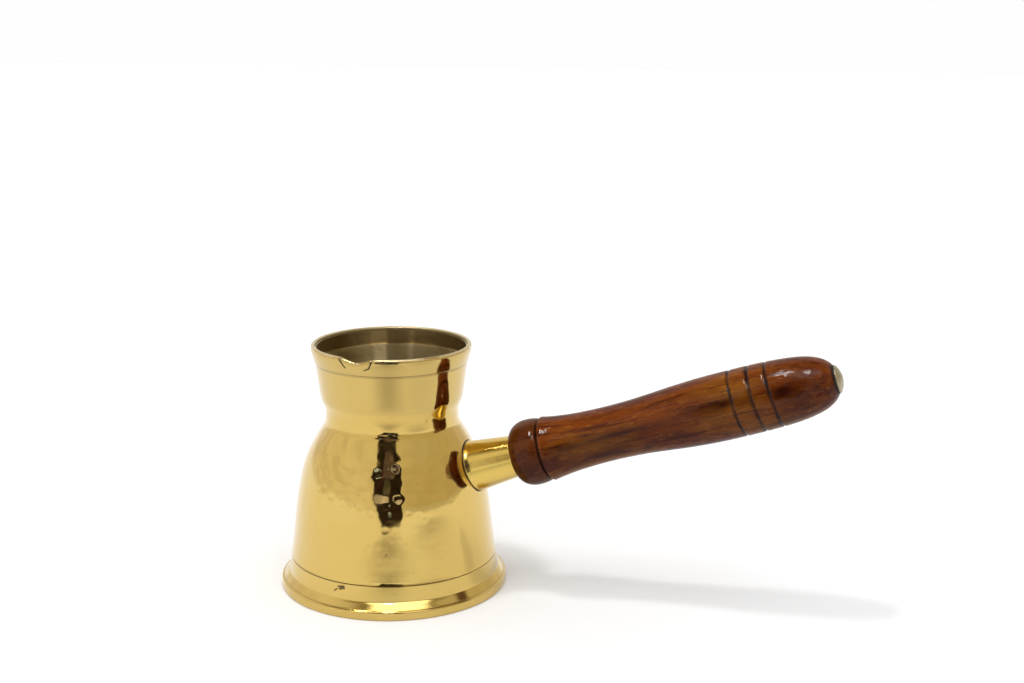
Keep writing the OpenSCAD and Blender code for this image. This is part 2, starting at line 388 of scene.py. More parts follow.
def make_foot():
    angle = angles_with(1.2, 0.3, [(-105, -95)])
    rings = np.arange(1.5, recess_r - 1.2, 0.5)
    turning_rings = 0.05 * (np.sin(rings * 4.1) > 0.2)
    centre_mark = 0.35 * np.exp(-(rings / 2.2) ** 2)
    under = np.stack([rings, recess_depth - turning_rings + centre_mark], axis=1)
    seam_top = seam_z - 0.1
    sole_in, sole_out = v2(recess_r + 0.15, 0), v2(foot_r - 0.5, 0)
    side_low, side_high = v2(foot_r, 0.45), v2(foot_r - 0.2, flange_h - 0.7)
    edge_top, slope_low = v2(foot_r - 0.75, flange_h), v2(foot_r - 1.0, flange_h + 0.12)
    slope_high, band_low = v2(band_r + 0.06, band_z - 0.08), v2(band_r, band_z + 0.05)
    band_high = v2(seam_r, seam_top - 0.18)
    path = joined(
        [v2(0, recess_depth + 0.45), v2(0.6, recess_depth + 0.42)], under,
        [v2(recess_r - 0.6, recess_depth), v2(recess_r - 0.1, 0.12), sole_in],
        even([sole_in, sole_out], 1.5),
        [v2(foot_r - 0.28, 0.05), v2(foot_r - 0.1, 0.18), side_low],
        even([side_low, side_high], 0.35),
        even(bezier(side_high, v2(foot_r - 0.22, flange_h - 0.25), v2(foot_r - 0.35, flange_h - 0.02),
                    edge_top), 0.15),
        even(bezier(edge_top, v2(foot_r - 0.86, flange_h), v2(foot_r - 0.93, flange_h + 0.04),
                    slope_low), 0.1),
        even([slope_low, slope_high], 0.3),
        [v2(band_r + 0.01, band_z - 0.01), band_low],
        even([band_low, band_high], 0.22),
        [v2(seam_r - 0.04, seam_top - 0.06), v2(seam_r - 0.18, seam_top), v2(spigot_r, seam_top),
         v2(spigot_r, spigot_top), v2(dish_r, spigot_top)],
        dish_fillet()[::-1],
        [v2(dish_r * 0.5, floor_top), v2(0, floor_top)])
    r, z, a = turned(path, angle)
    lean = left_of(path)
    shown = (path[:, 0] > seam_r - 1) & (path[:, 1] < seam_z)
    dent = 0.02 * (1 + unevenness(3, 5, 0.3)(a, z)) * (z > band_z - 0.5)
    marks = np.zeros_like(r)
    for start, end, half, deep in BAND_NICKS:
        line = cut(a, z, band_r, start, end, half)
        dent += deep * line
        marks = np.maximum(marks, np.clip(2 * line, 0, 1))
    outer = shown[:, None] & (r > recess_r + 2)
    marks = np.maximum(marks * outer, 0.4 * np.exp(-((z - seam_top) / 0.15) ** 2) * (r > seam_r - 2))
    # Painted shade: a dark line round the flange's top edge.
    marks = np.maximum(marks, 0.3 * np.exp(-((r - foot_r + 0.95) / 0.2) ** 2) * (z > flange_h - 0.25))
    # Painted shade: the flange's side a little darker.
    marks = np.maximum(marks, 0.09 * outer * (z < flange_h - 0.3))
    under_marks = 0.5 * ((r < recess_r) & (z < 1.4))
    r = r + dent * lean[:, :1] * outer
    z = z + dent * lean[:, 1:] * outer
    return skin("foot_turned", upright(r, z, a), {"grime_and_shade": np.maximum(marks, under_marks)}, loop=False)


# ---------------------------------------------------------------- tin lining

# Painted highlights: how bright the wiped tin is painted in each direction (degrees), in upright bands.
PAINTED_SHEEN = np.array([(-30, 0.3), (10, 0.12), (30, 0.05), (50, 0.12), (70, 0.22), (90, 0.30), (93, 0.6),
                  (97, 0.27), (105, 0.22), (113.5, 0.28), (115, 1.05), (118.5, 1.25), (123, 0.95),
                  (127, 0.45), (140, 0.3), (152, 0.08), (165, 0.03), (185, 0.1), (230, 0.35), (280, 0.2),
                  (330, 0.3)])


def make_lining():
    tin, gap = 0.25, 0.05
    angle = angles_with(2.0, 1.0, [(-114, -80)])
    face = joined(
        even([v2(0, floor_top), v2(dish_r - floor_fillet, floor_top)], 2.0),
        dish_fillet(),
        even([v2(dish_r, floor_top + floor_fillet), v2(dish_r, spigot_top)], 1.5),
        brass_inside(0.6, 1.0),
        even([v2(mouth_r, rim_step_z), v2(mouth_r, pot_h - 1)], 0.4))
    lean = left_of(face)
    back, front = face + gap * lean, face + (gap + tin) * lean
    back[:, 0], front[:, 0] = np.maximum(back[:, 0], 0), np.maximum(front[:, 0], 0)
    back[0, 0] = front[0, 0] = 0
    path = joined(back, front[::-1])
    r, z, a = turned(path, angle)
    is_front = (np.arange(len(path)) >= len(back))[:, None]
    wipe = 0.03 * unevenness(31, 9, 0.5)(a, z) * is_front * (r > 4) * (z < rim_step_z - 1)
    out = left_of(path)
    r, z = r + wipe * out[:, :1], z + wipe * out[:, 1:]
    z = filed_lip(z, a)
    # Painted highlights, a little stronger on the rim's inside above the ledge.
    painted_sheen = np.interp(np.rad2deg(a) % 360, PAINTED_SHEEN[:, 0], PAINTED_SHEEN[:, 1]) * (1 + 0.5 * smooth(77.6, 78.4, z))
    edge = smooth(pot_h - 1.25, pot_h - 0.95, z)
    return skin("tin_wiped", upright(r, z, a), {"painted_sheen": painted_sheen, "edge": edge}, loop=False)


# ---------------------------------------------------------------- handle socket

wood_start, wood_end, seat_depth = 46.2, 154.1, 2.6
socket_root_r, socket_tip_r, socket_wall = 8.6, 6.95, 1.1
flare_start, flare_end, joint_gap = 26, 32, 0.12


def socket_radius(s):
    flare = bezier(v2(socket_root_r + 4, flare_start), v2(socket_root_r + 1.5, flare_start + 3),
                   v2(socket_root_r + 0.4, flare_end - 2), v2(socket_root_r, flare_end))
    path = joined(flare, [v2(socket_tip_r, wood_start), v2(socket_tip_r, wood_start + seat_depth)])
    return np.interp(s, path[:, 1], path[:, 0])


def saddle(phi, inset=0):
    """For each phi, how far out the socket's surface, or one inset mm inside it, comes clear of the belly."""
    s = np.arange(flare_start, flare_end + 8, 0.02)
    out = []
    for p in phi:
        r = socket_radius(s) - inset
        at = on_handle(r, s, np.full_like(s, p))
        clear = np.hypot(at[:, 0], at[:, 1]) > bell_radius(at[:, 2]) + joint_gap
        out.append(s[np.argmax(clear)])
    return np.array(out)


def make_socket():
    phi = all_round(180)
    tip = wood_start + seat_depth
    start, start_in = saddle(phi), saddle(phi, socket_wall)
    share = np.concatenate([[0, 0.006, 0.018], np.linspace(0.035, 1, 40)])[:, None]  # closer at the joint
    share_in = np.linspace(0, 1, 10)[:, None]
    s_out = start[None, :] + (tip - start)[None, :] * share
    s_in = start_in[None, :] + (tip - start_in)[None, :] * share_in
    r_out = socket_radius(s_out)
    r_out[0] -= 0.3
    r_out[1] -= 0.1
    r_out += 0.03 * unevenness(41, 3, 0.3)(phi[None, :], s_out) * (1 - share)
    r_out[-1] -= 0.12
    r_in = socket_radius(s_in) - socket_wall
    s, r = np.concatenate([s_out, s_in[::-1]]), np.concatenate([r_out, r_in[::-1]])
    marks = np.zeros_like(s)
    marks[:3] = [[0.8], [0.35], [0.1]]  # painted shade in the joint with the belly
    return skin("socket_polished", on_handle(r, s, np.broadcast_to(phi, s.shape)), {"grime_and_shade": marks})


def make_solder():
    """The thin dark line of solder in the joint between socket and belly."""
    phi = all_round(180)
    start = saddle(phi)
    ring = all_round(8)
    lump = 0.22 + 0.07 * unevenness(47, 11, 0.0)(phi, 0)
    r_mid, s_mid = socket_radius(start) - 0.12, start - 0.02
    r = r_mid[None, :] + lump * np.cos(ring)[:, None]
    s = s_mid[None, :] + 0.75 * lump * np.sin(ring)[:, None]
    return skin("socket_solder", on_handle(r, s, np.broadcast_to(phi, s.shape)))


# ---------------------------------------------------------------- wooden handle

bead_r, slim_r, swell_r = 11.15, 9.0, 10.95
ring_places = (122.8, 129.1, 134.8)
ring_lean = math.radians(3)


def dark_grain_and_painted_shade():
    """Dark grain in the wood, and painted shade along the middle of its camera side: distance out, angle,
    length, width and strength, the last few at random.
    """
    # The streak at 143.5 mm and the last row are painted shade on the camera side; the rest are dark grain.
    known = [(138.2, 77, 3.2, 1.9, 0.85), (143.5, 86, 8.0, 7.5, 0.65), (63.5, 79, 4.5, 0.7, 0.75),
             (62.0, 98, 3.5, 0.6, 0.5), (66.0, 88, 6.0, 0.8, 0.5), (85.0, 82, 9.0, 0.8, 0.6),
             (112.5, 70, 9.0, 1.2, 0.5), (120.5, 73, 4.0, 1.6, 0.5), (128.0, 78, 3.0, 1.4, 0.4),
             (76.0, 82, 15.0, 2.4, 0.42), (98.0, 86, 17.0, 2.2, 0.4), (117.0, 80, 12.0, 2.6, 0.42)]
    rng = np.random.default_rng(67)
    chance = [(rng.uniform(60, 150), rng.uniform(115, 415), rng.uniform(3, 11), rng.uniform(0.6, 2.2),
               rng.uniform(0.3, 0.75)) for _ in range(26)]
    return [(at, math.radians(side), long, wide, share) for at, side, long, wide, share in known + chance]


def make_grip():
    phi = all_round(240)
    seat_r, bore_r, nut_seat_r = socket_tip_r + 0.1, 2.9, 3.7
    seat_end = wood_start + seat_depth + 0.2
    bead_crown, nut_seat = wood_start + 5.8, wood_end - 9
    turn = np.radians(np.arange(0, 91, 5))
    bead = np.stack([seat_r + (bead_r - seat_r) * np.sin(turn),
                     wood_start + (bead_crown - wood_start) * (1 - np.cos(turn))], axis=1)
    bead_fall = bezier(v2(bead_r, bead_crown), v2(bead_r, bead_crown + 2.2),
                       v2(bead_r - 0.25, wood_start + 9.3), v2(bead_r - 0.6, wood_start + 10.1))
    grip_low, slim, swell = v2(bead_r - 0.33, wood_start + 11.75), v2(slim_r, 80), v2(swell_r, 120.8)
    groove = [v2(bead_r - 0.95, wood_start + 10.45), v2(bead_r - 1.4, wood_start + 10.7),
              v2(bead_r - 1.4, wood_start + 10.9), v2(bead_r - 0.75, wood_start + 11.2),
              v2(bead_r - 0.4, wood_start + 11.45), grip_low]
    grip = joined(
        bezier(grip_low, v2(bead_r - 1.5, wood_start + 17), slim - v2(0, 9), slim),
        bezier(slim, slim + v2(0, 16), swell - v2(0, 20), swell, 60),
        bezier(swell, swell + v2(0, 22), v2(9.8, wood_end - 3.5), v2(5.2, wood_end), 60))
    s_grip = [grip_low[1]]
    while s_grip[-1] < wood_end - 0.05:
        near = min(abs(s_grip[-1] - place) for place in ring_places)
        s_grip.append(s_grip[-1] + (0.14 if near < 0.9 else 0.3 if wood_end - s_grip[-1] < 6 else 0.8))
    s_grip = np.minimum(np.array(s_grip), wood_end)
    shank = np.stack([np.interp(s_grip, grip[:, 1], grip[:, 0]), s_grip], axis=1)
    path = joined(
        [v2(bore_r, seat_end), v2(seat_r, seat_end)],
        even([v2(seat_r, seat_end), v2(seat_r, wood_start)], 0.8),
        even(bead, 0.35), even(bead_fall, 0.4), groove, shank,
        [v2(nut_seat_r, wood_end), v2(nut_seat_r, nut_seat), v2(bore_r, nut_seat)])
    r, s, p = turned(path, phi)
    out = ((path[:, 0] > nut_seat_r + 0.5) & (path[:, 1] > wood_start + 0.5))[:, None]
    burn = np.zeros_like(r)
    lean_share = between(116, 121, 139, 146, s) * out
    dent = 0.05 * (1 + unevenness(61, 3, 0.12)(p, s)) * out
    for i, place in enumerate(ring_places):
        wander = 0.1 * np.cos(2 * p + i) + 0.05 * np.cos(5 * p + 2 * i)
        away = np.abs(s - place - wander)
        dent += 0.32 * np.clip(1 - away / 0.6, 0, 1) ** 1.2 * out
        fade = 0.9 + 0.22 * unevenness(65 + i, 7, 0)(p, s)
        ragged = away + 0.09 * np.cos(17 * p + 3 * i) + 0.05 * np.cos(31 * p)
        burn = np.maximum(burn, fade * (1 - smooth(0.26, 0.76, ragged)) * out)
    collar = wood_start + 10.8
    burn = np.maximum(burn, (1 - smooth(0.15, 0.5, np.abs(s - collar))) * out)
    # Dark grain, and painted shade along the middle of the camera side.
    dark = np.zeros_like(r)
    for at, side, long, wide, share in dark_grain_and_painted_shade():
        u, w = (s - at) / long, (np.remainder(p - side + np.pi, 2 * np.pi) - np.pi) * r / wide
        dark += share * np.exp(-u * u - (w + 0.35 * u) ** 2)
    end = smooth(wood_end - 0.8, wood_end, s) * out
    burn = np.maximum(burn, 0.7 * end)
    bead_mark = (1 - smooth(collar - 0.5, collar - 0.1, s)) * out
    r = r - dent
    s = s - math.tan(ring_lean) * r * np.cos(p) * lean_share
    return skin("grip_turned", on_handle(r, s, p),
                {"burn": burn, "bead": bead_mark, "dark": np.clip(dark, 0, 1)})


# ---------------------------------------------------------------- washer and nut


def make_washer():
    phi = all_round(96)
    low, high = wood_end + 0.05, wood_end + 0.45
    outer, inner = 4.75, 3.75
    path = joined([v2(inner, low), v2(outer - 0.08, low), v2(outer, low + 0.08), v2(outer, high - 0.08),
                   v2(outer - 0.08, high), v2(inner, high)])
    r, s, p = turned(path, phi)
    r = r - 0.06 * (1 + unevenness(71, 9, 0)(p, s)) * (r > 4.5)
    return skin("washer_pressed", on_handle(r, s, p))


def make_nut():
    phi = all_round(96)
    head, top, barrel = wood_end + 0.5, wood_end + 2.47, 3.55
    head_edge, dome_edge = v2(4.5, head), v2(4.55, head + 0.16)
    path = joined(
        [v2(0, wood_end - 0.9), v2(2.5, wood_end - 0.9), v2(2.5, wood_end - 8), v2(barrel, wood_end - 8),
         v2(barrel, head), head_edge],
        even(bezier(head_edge, v2(4.56, head + 0.03), v2(4.56, head + 0.1), dome_edge), 0.1),
        even(bezier(dome_edge, v2(4.5, head + 0.72), v2(2.25, top), v2(0, top)), 0.22))
    r, s, p = turned(path, phi)
    dome = smooth(head + 0.6, head + 1.2, s)
    s = s - 0.03 * (1 + unevenness(83, 4, 0.4)(p, r)) * dome * (r > 0.3)
    rim_mark = np.clip(1 - np.abs(s - head) / 0.25, 0, 1) * (r > 4)
    return skin("nut_domed", on_handle(r, s, p), {"grime_and_shade": 0.6 * rim_mark}, loop=False)


# ---------------------------------------------------------------- materials


class Nodes:
    """One node tree, with small helpers for the nodes that are used most here."""

    def __init__(self, tree, coordinates):
        self.tree = tree
        tree.nodes.clear()
        self.place = self.add("ShaderNodeTexCoord").outputs[coordinates]

    def add(self, kind, **values):
        node = self.tree.nodes.new(kind)
        for key, value in values.items():
            setattr(node, key, value)
        return node

    def give(self, socket, value):
        """Links an output to a socket, or sets the socket to a number, a vector or a colour."""
        if isinstance(value, bpy.types.NodeSocket):
            self.tree.links.new(value, socket)
        elif isinstance(value, tuple) and socket.type == "RGBA":
            socket.default_value = (*value, 1)
        else:
            socket.default_value = value

    def mapping(self, scale=(1, 1, 1), rotation=(0, 0, 0), location=(0, 0, 0)):
        node = self.add("ShaderNodeMapping")
        for key, value in (("Scale", scale), ("Rotation", rotation), ("Location", location),
                           ("Vector", self.place)):
            self.give(node.inputs[key], value)
        return node.outputs["Vector"]

    def noise(self, scale, stretch=(1, 1, 1), detail=3.0, roughness=0.5, distortion=0.0, offset=(0, 0, 0)):
        node = self.add("ShaderNodeTexNoise")
        for key, value in (("Scale", scale), ("Detail", detail), ("Roughness", roughness),
                           ("Distortion", distortion), ("Vector", self.mapping(stretch, location=offset))):
            self.give(node.inputs[key], value)
        return node.outputs["Fac"]

    def span(self, value, low, high, to_low=0.0, to_high=1.0):
        """A smooth step in value from low to high."""
        node = self.add("ShaderNodeMapRange", interpolation_type="SMOOTHSTEP")
        for key, number in (("From Min", low), ("From Max", high), ("To Min", to_low), ("To Max", to_high),
                            ("Value", value)):
            self.give(node.inputs[key], number)
        return node.outputs["Result"]

    def math(self, how, a, b):
        node = self.add("ShaderNodeMath", operation=how)
        self.give(node.inputs[0], a)
        self.give(node.inputs[1], b)
        return node.outputs[0]

    def mix(self, factor, a, b, blend="MIX"):
        """Colour a where the factor is 0 and b where it is 1."""
        node = self.add("ShaderNodeMix", data_type="RGBA", blend_type=blend)
        for i, value in ((0, factor), (6, a), (7, b)):  # the node's places for a colour mix
            self.give(node.inputs[i], value)
        return node.outputs[2]


class Surface(Nodes):
    """A material with one surface shader, in the piece's own coordinates or turned along the handle."""

    def __init__(self, name, turn_y=0.0):
        self.mat = bpy.data.materials.new(name)
        self.mat.use_nodes = True
        super().__init__(self.mat.node_tree, "Object")
        self.out = self.add("ShaderNodeOutputMaterial")
        self.bsdf = self.add("ShaderNodeBsdfPrincipled")
        self.give(self.out.inputs["Surface"], self.bsdf.outputs["BSDF"])
        if turn_y:
            self.place = self.mapping(location=(0, 0, -axis_z * MM))
            self.place = self.mapping(rotation=(0, turn_y, 0))

    def put(self, socket, value):
        self.give(self.bsdf.inputs[socket], value)

    def mark(self, name):
        return self.add("ShaderNodeAttribute", attribute_name=name).outputs["Fac"]

    def bump(self, height, distance, under=None):
        node = self.add("ShaderNodeBump")
        self.give(node.inputs["Strength"], 1.0)
        self.give(node.inputs["Distance"], distance)
        self.give(node.inputs["Height"], height)
        if under is not None:
            self.give(node.inputs["Normal"], under)
        return node.outputs["Normal"]


# The colour of dirt and of painted shade where the meshes are marked, and of small specks.
GRIME_AND_SHADE, SPECK = (0.045, 0.026, 0.008), (0.2, 0.11, 0.03)
DULLED_BRASS, WORN_CROWN = (0.57, 0.40, 0.12), (0.64, 0.52, 0.28)


def brass(name, bright, warm, rough, turned_lines=0.0, tilt=0.0, haze=0.1, stain=0.35, bell=False):
    """Polished brass: patches of slightly warmer metal, hazy wiped areas, hairline scratches, optional
    turning lines, and brown dirt and painted shade where the mesh is marked. The bell's is also duller
    where the mesh says so, with a worn crown."""
    m = Surface(name, tilt)
    patches = m.span(m.noise(55, detail=4, roughness=0.6, distortion=0.6), 0.38, 0.66)
    cloud = m.span(m.noise(24, detail=2, offset=(0.3, 0.1, 0.7)), 0.42, 0.7)
    colour = m.mix(m.math("MULTIPLY", patches, stain), bright, warm)
    half_way = tuple(0.5 * (a + b) for a, b in zip(bright, warm))
    colour = m.mix(m.math("MULTIPLY", cloud, 0.5), colour, half_way)
    specks = m.span(m.noise(620, detail=2, roughness=0.7), 0.7, 0.78)
    colour = m.mix(m.math("MULTIPLY", specks, 0.35), colour, SPECK)
    if bell:
        worn = m.span(m.noise(130, detail=4, roughness=0.6), 0.3, 0.5)
        crown = m.math("MULTIPLY", m.mark("tinned"), worn)
        colour = m.mix(m.mark("dull"), colour, DULLED_BRASS)
        colour = m.mix(crown, colour, WORN_CROWN)
    # Dirt and painted shade where the mesh is marked.
    grime_and_shade = m.mark("grime_and_shade")
    m.put("Base Color", m.mix(grime_and_shade, colour, GRIME_AND_SHADE))
    m.put("Metallic", m.math("SUBTRACT", 1.0, m.math("MULTIPLY", grime_and_shade, 0.45)))
    scratches = m.span(m.noise(260, stretch=(1, 1, 9), detail=5, roughness=0.75, distortion=1.5), 0.56, 0.74)
    hazy = m.span(m.noise(38, detail=4, roughness=0.65, offset=(0.9, 0.2, 0.4)), 0.4, 0.72)
    roughness = m.math("ADD", rough, m.math("MULTIPLY", hazy, haze))
    roughness = m.math("ADD", roughness, m.math("MULTIPLY", scratches, 0.06))
    roughness = m.math("ADD", roughness, m.math("MULTIPLY", grime_and_shade, 0.35))
    if bell:
        roughness = m.math("ADD", roughness, m.math("MULTIPLY", crown, 0.3))
    m.put("Roughness", roughness)
    normal = m.bump(m.noise(900, detail=3, roughness=0.6), 0.000004)
    normal = m.bump(m.noise(230, detail=2), 0.00002, under=normal)
    if turned_lines:
        scale, stretch = (60, (6, 130, 130)) if tilt else (45, (1, 1, 60))
        lines = m.noise(scale, stretch=stretch, detail=5, roughness=0.8)
        normal = m.bump(lines, turned_lines, under=normal)
    m.put("Normal", normal)
    m.put("Coat Weight", 0.5)
    m.put("Coat Roughness", 0.06)
    return m.mat


def tin():
    """Wiped tin, browned by coffee, with turning lines that draw its reflections out into upright stripes,
    and painted highlights in upright bands where the mesh says.
    """
    m = Surface("tin_brown_painted_highlights")
    wiped = m.noise(28, stretch=(1, 1, 0.4), detail=5, roughness=0.65, distortion=0.8)
    stains = m.noise(70, stretch=(1, 1, 2.5), detail=5, roughness=0.7, distortion=0.5)
    # Painted highlights: lighter in the directions that the mesh gives.
    painted_sheen = m.math("ADD", m.mark("painted_sheen"), m.span(wiped, 0.35, 0.65, -0.08, 0.12))
    colour = m.mix(painted_sheen, (0.22, 0.155, 0.04), (1.0, 0.86, 0.58))
    colour = m.mix(m.math("MULTIPLY", m.span(stains, 0.45, 0.62), 0.3), colour, (0.2, 0.14, 0.07))
    m.put("Base Color", m.mix(m.mark("edge"), colour, (0.60, 0.52, 0.38)))
    m.put("Metallic", 1.0)
    m.put("Anisotropic", 0.9)
    m.put("Tangent", m.add("ShaderNodeTangent", direction_type="RADIAL", axis="Z").outputs[0])
    m.put("Roughness", m.span(wiped, 0.3, 0.7, 0.42, 0.5))
    m.put("Normal", m.bump(m.noise(50, stretch=(1, 1, 45), detail=4, roughness=0.7), 0.00003))
    return m.mat


def grained(name, turn_y, grain, low, high, metallic, roughness, relief):
    """A metal whose colour, gloss and relief all follow one fine grain."""
    m = Surface(name, turn_y)
    fine = m.noise(roughness=0.7, **grain)
    m.put("Base Color", m.mix(fine, low, high))
    m.put("Metallic", metallic)
    m.put("Roughness", m.span(fine, 0.3, 0.7, *roughness))
    m.put("Normal", m.bump(fine, relief))
    return m.mat


def wood():
    """Reddish varnished wood: long streaks along the handle, golden and dark zones, pores, burnt rings,
    painted shade along the middle of the camera side, and varnish that sinks a little into the grain."""
    m = Surface("wood_varnished", handle_tilt)
    figure = m.noise(1, stretch=(14, 90, 90), detail=5, roughness=0.65, distortion=0.4)
    streaks = m.noise(1, stretch=(38, 520, 520), detail=6, roughness=0.7, distortion=0.5)
    fibres = m.noise(1, stretch=(260, 2600, 2600), detail=4, roughness=0.75)
    fleck = m.noise(1, stretch=(320, 900, 900), detail=3, roughness=0.6, offset=(0.5, 0.1, 0.9))
    zones = m.noise(1, stretch=(24, 70, 70), detail=3, distortion=0.4, offset=(0.4, 1.7, 0.3))
    colour = m.mix(m.span(figure, 0.38, 0.6), (0.075, 0.0105, 0.0006), (0.185, 0.039, 0.002))
    for where, share, tone in (
            (m.span(zones, 0.44, 0.62), 0.7, (0.25, 0.085, 0.006)),         # golden zones
            (m.span(streaks, 0.5, 0.64), 0.7, (0.030, 0.0025, 0.0003)),     # dark streaks
            (m.span(fibres, 0.5, 0.68), 0.6, (0.045, 0.005, 0.0005)),       # pores
            (m.span(fleck, 0.56, 0.7), 0.5, (0.30, 0.10, 0.009)),           # light flecks
            # dark grain, and painted shade along the middle of the camera side
            (m.mark("dark"), 0.9, (0.018, 0.001, 0.0003)),
            (m.mark("bead"), 0.55, (0.055, 0.013, 0.001)),
            (m.mark("burn"), 1.0, (0.014, 0.002, 0.0004))):
        colour = m.mix(m.math("MULTIPLY", where, share), colour, tone)
    m.put("Base Color", colour)
    m.put("Roughness", m.span(fibres, 0.3, 0.8, 0.34, 0.5))
    m.put("Specular IOR Level", 0.02)
    m.put("Normal", m.bump(fibres, 0.00005, under=m.bump(streaks, 0.00012)))
    m.put("Coat Weight", 0.32)
    m.put("Coat Roughness", 0.05)
    m.put("Coat Normal", m.bump(m.noise(1, stretch=(90, 850, 850), detail=3, roughness=0.6), 0.00011))
    return m.mat


# ---------------------------------------------------------------- the pieces

hammered_brass = brass("brass_hammered", (0.675, 0.476, 0.13), (0.63, 0.41, 0.09), 0.05, haze=0.08, bell=True)
turned_brass = brass("brass_turned", (0.675, 0.482, 0.135), (0.62, 0.415, 0.095), 0.06,
                     turned_lines=0.000012)
polished_brass = brass("brass_polished", (0.74, 0.53, 0.125), (0.68, 0.46, 0.085), 0.07,
                       turned_lines=0.00002, tilt=handle_tilt)
dull_brass = brass("brass_dull", (0.39, 0.34, 0.215), (0.30, 0.245, 0.14), 0.36,
                   turned_lines=0.00003, tilt=handle_tilt, haze=0.2)
steel = grained("rod_steel", handle_tilt, dict(scale=70, stretch=(0.3, 1, 1), detail=5),
                (0.42, 0.42, 0.43), (0.6, 0.6, 0.61), 1.0, (0.25, 0.45), 0.00003)
dark_steel = grained("washer_dark", handle_tilt, dict(scale=700, detail=4),
                     (0.012, 0.009, 0.007), (0.035, 0.027, 0.02), 0.3, (0.5, 0.7), 0.00005)
solder = grained("solder_dark", 0.0, dict(scale=420, detail=4),
                 (0.03, 0.02, 0.008), (0.12, 0.09, 0.04), 0.6, (0.35, 0.6), 0.0001)

for piece, node, slot, material in (
        (make_pot(), "pot_body", "hammered_brass", hammered_brass),
        (make_foot(), "foot_base", "turned_brass", turned_brass),
        (make_lining(), "tin_lining", "tin", tin()),
        (make_socket(), "handle_socket", "polished_brass", polished_brass),
        (make_solder(), None, "dull_brass", solder),
        (make_grip(), "handle_grip", "varnished_wood", wood()),
        (make_washer(), "end_washer", "dark_washer", dark_steel),
        (make_nut(), "cap_nut", "dull_brass", dull_brass)):
    piece.data.materials.append(material)
    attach(piece, "root")
    if node:
        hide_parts(node)

for node, material in (("rod_boss", dull_brass), ("tie_rod", steel)):
    for place in NODES[node].material_slots:
        place.material = material

# ---------------------------------------------------------------- floor and cards

scene = bpy.context.scene
scene.view_settings.view_transform = "Standard"


def direction(azimuth, elevation):
    a, e = math.radians(azimuth), math.radians(elevation)
    return Vector((math.cos(e) * math.cos(a), math.cos(e) * math.sin(a), math.sin(e)))


def flat_card(name, corners, material):
    mesh = bpy.data.meshes.new(name)
    mesh.from_pydata(corners, [], [range(len(corners))])
    mesh.materials.append(material)
    card = bpy.data.objects.new(name, mesh)
    scene.collection.objects.link(card)
    return card


def square(half, z=0.0):
    return [(-half, -half, z), (half, -half, z), (half, half, z), (-half, half, z)]


def matt(name, colour):
    m = Surface(name)
    m.put("Base Color", colour)
    m.put("Roughness", 0.9)
    m.put("Specular IOR Level", 0.0)
    return m.mat


# The floor that the camera sees is near white. A duller one just under it, which only diffuse rays see,
# keeps its light from washing the pot out.
FLOOR_HALF, BOUNCE_DROP = 6.0, 0.0005
floor = flat_card("floor", square(FLOOR_HALF), matt("floor_white", (0.89, 0.89, 0.89)))
floor.visible_diffuse = False
bounce = flat_card("floor_bounce", square(FLOOR_HALF), matt("floor_dim", (0.58, 0.54, 0.47)))
bounce.visible_camera = bounce.visible_glossy = bounce.visible_shadow = False
bounce.location.z = -BOUNCE_DROP

# The dark shape in front of the pot and painted shadows on the front of the table, which only reflections
# see. The outline and the patches on it are in mm: to the right of its middle, and up from the table.
SHADE_AZIMUTH, SHADE_DISTANCE, PATCH_NEARER = -79, 0.40, 0.003
SHADE_TONE = (0.026, 0.017, 0.012)
SHADE = ((-29, 1), (-83, 49), (-100, 64), (-108, 88), (-112, 115), (-114, 202), (-138, 208), (-156, 226),
         (-163, 252), (-156, 278), (-138, 298), (-110, 308), (-110, 320), (-110, 358), (-136, 390),
         (-133, 430), (-150, 460), (-146, 505), (118, 505), (116, 470), (110, 450), (158, 430), (156, 400),
         (84, 368), (120, 350), (158, 325), (163, 300), (138, 265), (134, 205), (117, 135), (150, 112),
         (158, 90), (124, 66), (131, 24), (111, 11))
SHADE_PATCHES = (((-45, 230), (80, 440), (0.16, 0.125, 0.15)), ((-36, 118), (30, 228), (0.11, 0.10, 0.10)),
                 ((-96, 66), (14, 108), (0.74, 0.70, 0.86)), ((-102, 238), (-74, 268), (0.8, 1.0, 1.7)),
                 ((76, 302), (104, 336), (0.55, 0.56, 0.9)), ((4, 302), (18, 320), (1.3, 1.7, 3.8)),
                 ((62, 84), (100, 112), (0.85, 0.8, 1.05)), ((16, 30), (40, 46), (0.40, 0.55, 1.0)),
                 ((-108, 118), (-70, 206), (0.05, 0.012, 0.02)), ((-60, 232), (-30, 300), (0.2, 0.10, 0.16)))
middle = direction(SHADE_AZIMUTH, 0) * SHADE_DISTANCE
across = direction(SHADE_AZIMUTH + 90, 0) * MM


def shade_point(at, nearer=0.0):
    return middle * (1 - nearer) + across * at[0] + Vector((0, 0, at[1] * MM))


def rounded(low, high, sides=20, power=0.6):
    """Corners of a soft-edged upright patch between two opposite corners."""
    centre, half = (v2(*low) + v2(*high)) / 2, (v2(*high) - v2(*low)) / 2
    return [centre + half * (math.copysign(abs(math.cos(t)) ** power, math.cos(t)),
                             math.copysign(abs(math.sin(t)) ** power, math.sin(t)))
            for t in all_round(sides)]


def shade_material(name, colour):
    """Cloth in soft folds that gives off the light it would reflect."""
    m = Surface(name)
    folds = m.span(m.noise(14, detail=4, roughness=0.6), 0.42, 0.66)
    m.put("Emission Color", m.mix(folds, tuple(0.7 * c for c in colour), tuple(1.25 * c for c in colour)))
    m.put("Emission Strength", 1.0)
    m.put("Base Color", (0, 0, 0))
    m.put("Specular IOR Level", 0.0)
    return m.mat


# Painted shadows on the table: direction, distance, half length, half width and darkness.
PAINTED_TABLE_SHADOWS = ((-76, 0.205, 0.175, 0.088, 0.46), (-28, 0.360, 0.32, 0.18, 0.38))


